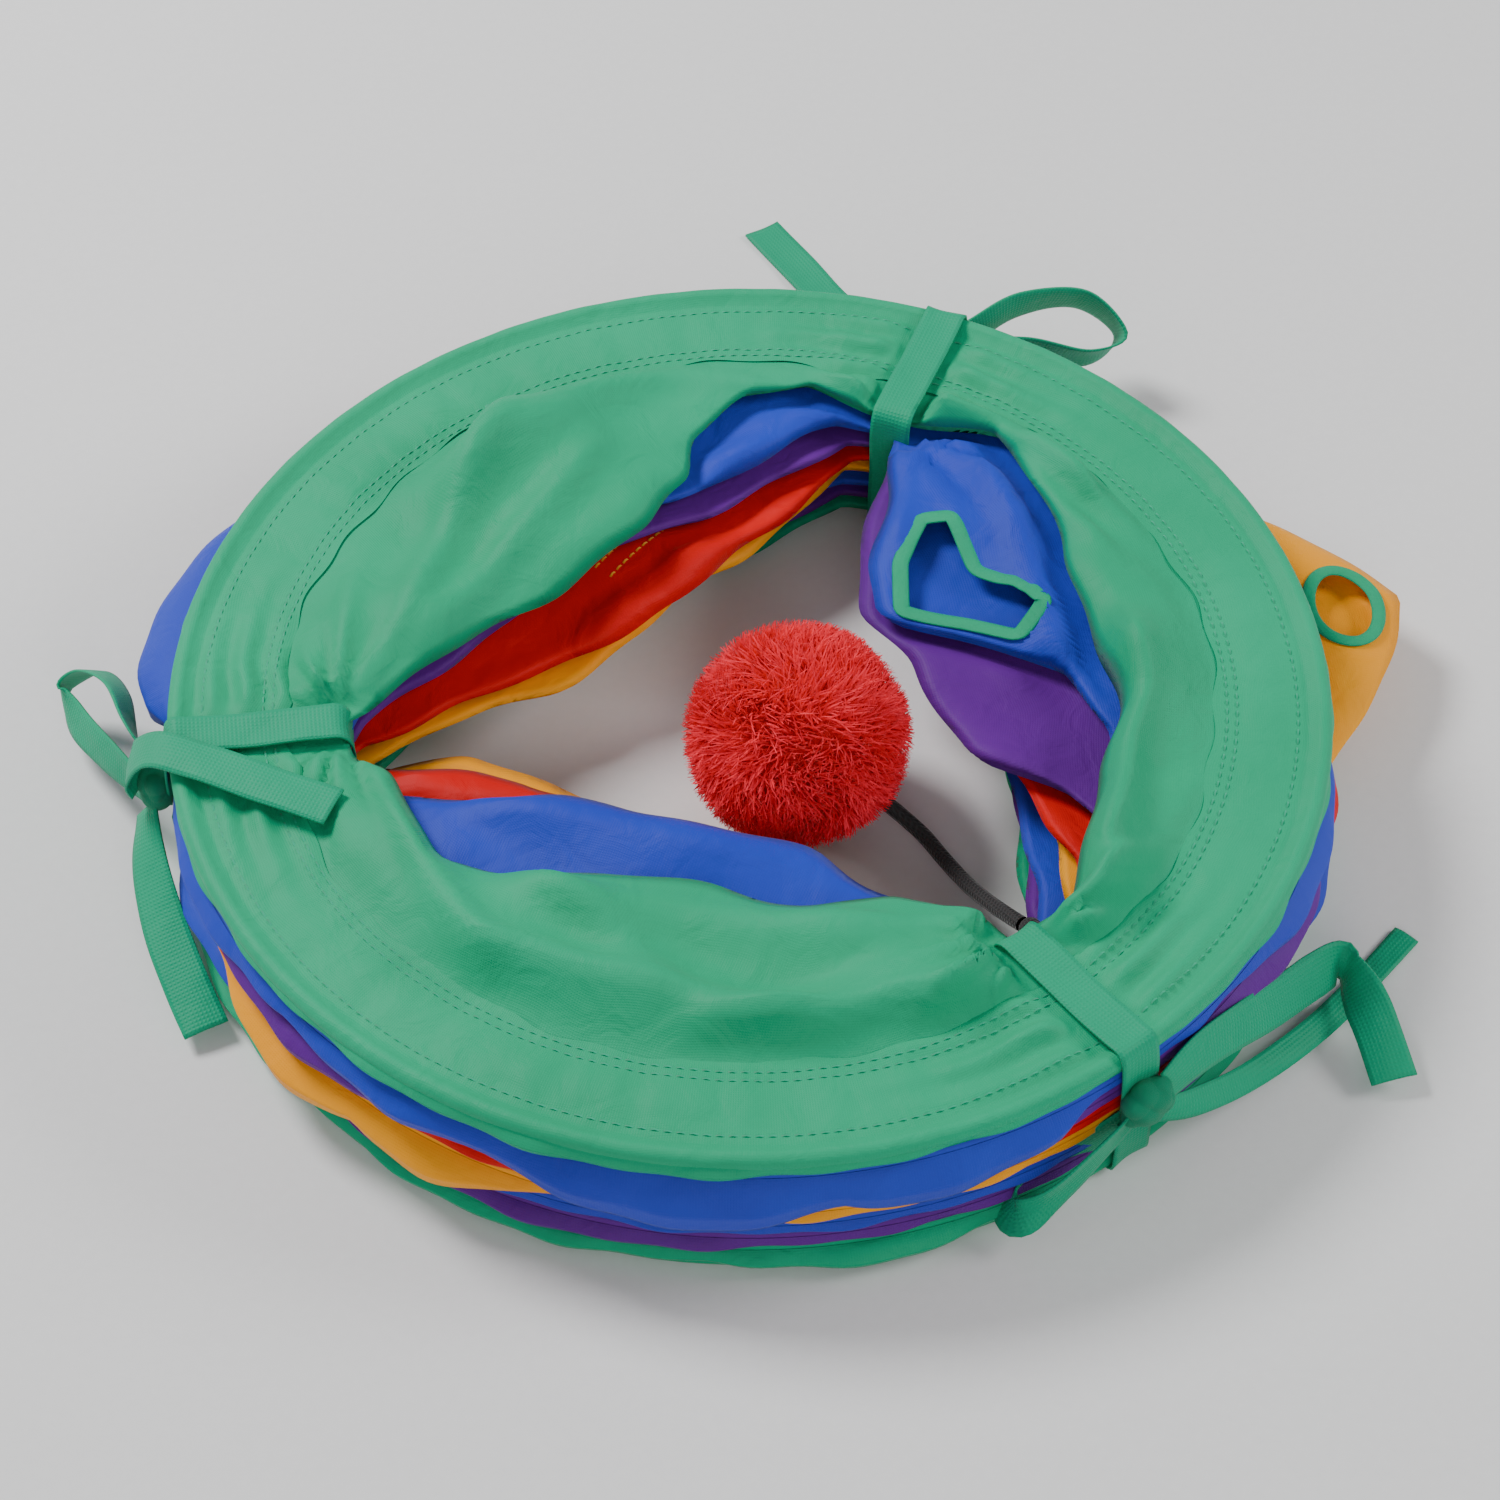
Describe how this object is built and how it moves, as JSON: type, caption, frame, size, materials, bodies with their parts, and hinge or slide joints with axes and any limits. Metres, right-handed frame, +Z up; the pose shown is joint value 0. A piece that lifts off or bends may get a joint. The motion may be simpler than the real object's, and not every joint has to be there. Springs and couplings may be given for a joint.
{
  "type": "agility tunnel",
  "caption": "Fabric pet tunnel on spring wire hoops, folded flat into a ring and tied shut, with a yarn ball hung inside on an elastic cord.",
  "frame": {"origin": "on the tunnel's axis, in the plane it lies on when folded flat", "axes": "+Z up along the tunnel's axis, from the lower end to the end with the ties; +Y towards the rear tie's side; +X towards the fabric that hangs outside the hoops"},
  "size_m": [0.3069, 0.3182, 0.051],
  "materials": {
    "green_fabric": "woven polyester, slight sheen",
    "purple_fabric": "woven polyester, slight sheen",
    "blue_fabric": "woven polyester, slight sheen",
    "yellow_fabric": "woven polyester, slight sheen",
    "red_fabric": "woven polyester, slight sheen",
    "tie_tape": "folded and stitched polyester",
    "spring_wire": "drawn wire",
    "ferrule_steel": "crimped tube",
    "elastic_cord": "braided",
    "yarn": "cut pile"
  },
  "bodies": {
    "lower_end": {"lower_hem": "green_fabric", "hoop_0": "spring_wire", "hoop_ferrule_0": "ferrule_steel"},
    "turn_1": {"hoop_sleeve_1": "purple_fabric", "hoop_1": "spring_wire", "hoop_ferrule_1": "ferrule_steel", "green_panel_1": "green_fabric"},
    "turn_2": {"hoop_sleeve_2": "blue_fabric", "hoop_2": "spring_wire", "hoop_ferrule_2": "ferrule_steel", "purple_panel_2": "purple_fabric"},
    "turn_3": {"hoop_sleeve_3": "yellow_fabric", "hoop_3": "spring_wire", "hoop_ferrule_3": "ferrule_steel", "blue_panel_3": "blue_fabric"},
    "turn_4": {"hoop_sleeve_4": "red_fabric", "hoop_4": "spring_wire", "hoop_ferrule_4": "ferrule_steel", "yellow_panel_4": "yellow_fabric", "flap_binding": "tie_tape"},
    "turn_5": {"hoop_sleeve_5": "purple_fabric", "hoop_5": "spring_wire", "hoop_ferrule_5": "ferrule_steel", "red_panel_5": "red_fabric"},
    "turn_6": {"hoop_sleeve_6": "blue_fabric", "hoop_6": "spring_wire", "hoop_ferrule_6": "ferrule_steel", "purple_panel_6": "purple_fabric"},
    "turn_7": {"hoop_sleeve_7": "green_fabric", "hoop_7": "spring_wire", "hoop_ferrule_7": "ferrule_steel", "blue_panel_7": "blue_fabric", "peephole_binding": "tie_tape"},
    "upper_end": {"upper_hem": "green_fabric", "hoop_8": "spring_wire", "hoop_ferrule_8": "ferrule_steel", "green_panel_8": "green_fabric", "rear_tie_wrap": "tie_tape", "left_tie_wrap": "tie_tape", "front_tie_wrap": "tie_tape", "rear_tie_knot": "tie_tape", "left_tie_knot": "tie_tape", "front_tie_knot": "tie_tape", "rear_tie_bow": "tie_tape", "left_tie_bow": "tie_tape", "front_tie_bow": "tie_tape", "rear_tie_tail": "tie_tape", "left_tie_tail_over": "tie_tape", "left_tie_tail_down": "tie_tape", "front_tie_tail_folded": "tie_tape", "front_tie_tail_long": "tie_tape"},
    "ball_tab": {"cord_tab": "yellow_fabric"},
    "cord_anchor": {"cord_knot": "elastic_cord"},
    "ball": {"ball_cord": "elastic_cord", "ball_core": "yarn", "yarn_ball": "yarn"}
  },
  "joints": [
    {"name": "tunnel_opening", "type": "slide", "parent": "lower_end", "child": "turn_1", "axis": [0, 0, 1], "range_m": [0, 0.1757], "deforming": ["green_panel_1"]},
    {"name": "panel_2_opening", "type": "slide", "parent": "turn_1", "child": "turn_2", "axis": [0, 0, 1], "range_m": [0, 0.1757], "deforming": ["purple_panel_2"]},
    {"name": "panel_3_opening", "type": "slide", "parent": "turn_2", "child": "turn_3", "axis": [0, 0, 1], "range_m": [0, 0.1757], "deforming": ["blue_panel_3"]},
    {"name": "panel_4_opening", "type": "slide", "parent": "turn_3", "child": "turn_4", "axis": [0, 0, 1], "range_m": [0, 0.1757], "deforming": ["yellow_panel_4", "flap_binding"]},
    {"name": "panel_5_opening", "type": "slide", "parent": "turn_4", "child": "turn_5", "axis": [0, 0, 1], "range_m": [0, 0.1757], "deforming": ["red_panel_5"]},
    {"name": "panel_6_opening", "type": "slide", "parent": "turn_5", "child": "turn_6", "axis": [0, 0, 1], "range_m": [0, 0.1757], "deforming": ["purple_panel_6"]},
    {"name": "panel_7_opening", "type": "slide", "parent": "turn_6", "child": "turn_7", "axis": [0, 0, 1], "range_m": [0, 0.1757], "deforming": ["blue_panel_7", "peephole_binding"]},
    {"name": "panel_8_opening", "type": "slide", "parent": "turn_7", "child": "upper_end", "axis": [0, 0, 1], "range_m": [0, 0.1757], "deforming": ["green_panel_8", "rear_tie_wrap", "left_tie_wrap", "front_tie_wrap"]},
    {"name": "tab_rise", "type": "slide", "parent": "turn_3", "child": "ball_tab", "axis": [0, 0, 1], "range_m": [0, 0.08785]},
    {"name": "ball_swing", "type": "hinge", "parent": "ball_tab", "child": "cord_anchor", "pos_m": [0.06, -0.053, 0.0172], "axis": [0, 0, 1], "range_deg": [-12, 12]},
    {"name": "ball_lift", "type": "hinge", "parent": "cord_anchor", "child": "ball", "pos_m": [0.06, -0.053, 0.0172], "axis": [0.6917, 0.7222, 0], "range_deg": [0, 60]}
  ],
  "couplings": [
    {"joint": "panel_2_opening", "follows": "tunnel_opening", "ratio": 1},
    {"joint": "panel_3_opening", "follows": "tunnel_opening", "ratio": 1},
    {"joint": "panel_4_opening", "follows": "tunnel_opening", "ratio": 1},
    {"joint": "panel_5_opening", "follows": "tunnel_opening", "ratio": 1},
    {"joint": "panel_6_opening", "follows": "tunnel_opening", "ratio": 1},
    {"joint": "panel_7_opening", "follows": "tunnel_opening", "ratio": 1},
    {"joint": "panel_8_opening", "follows": "tunnel_opening", "ratio": 1},
    {"joint": "tab_rise", "follows": "tunnel_opening", "ratio": 0.5}
  ]
}
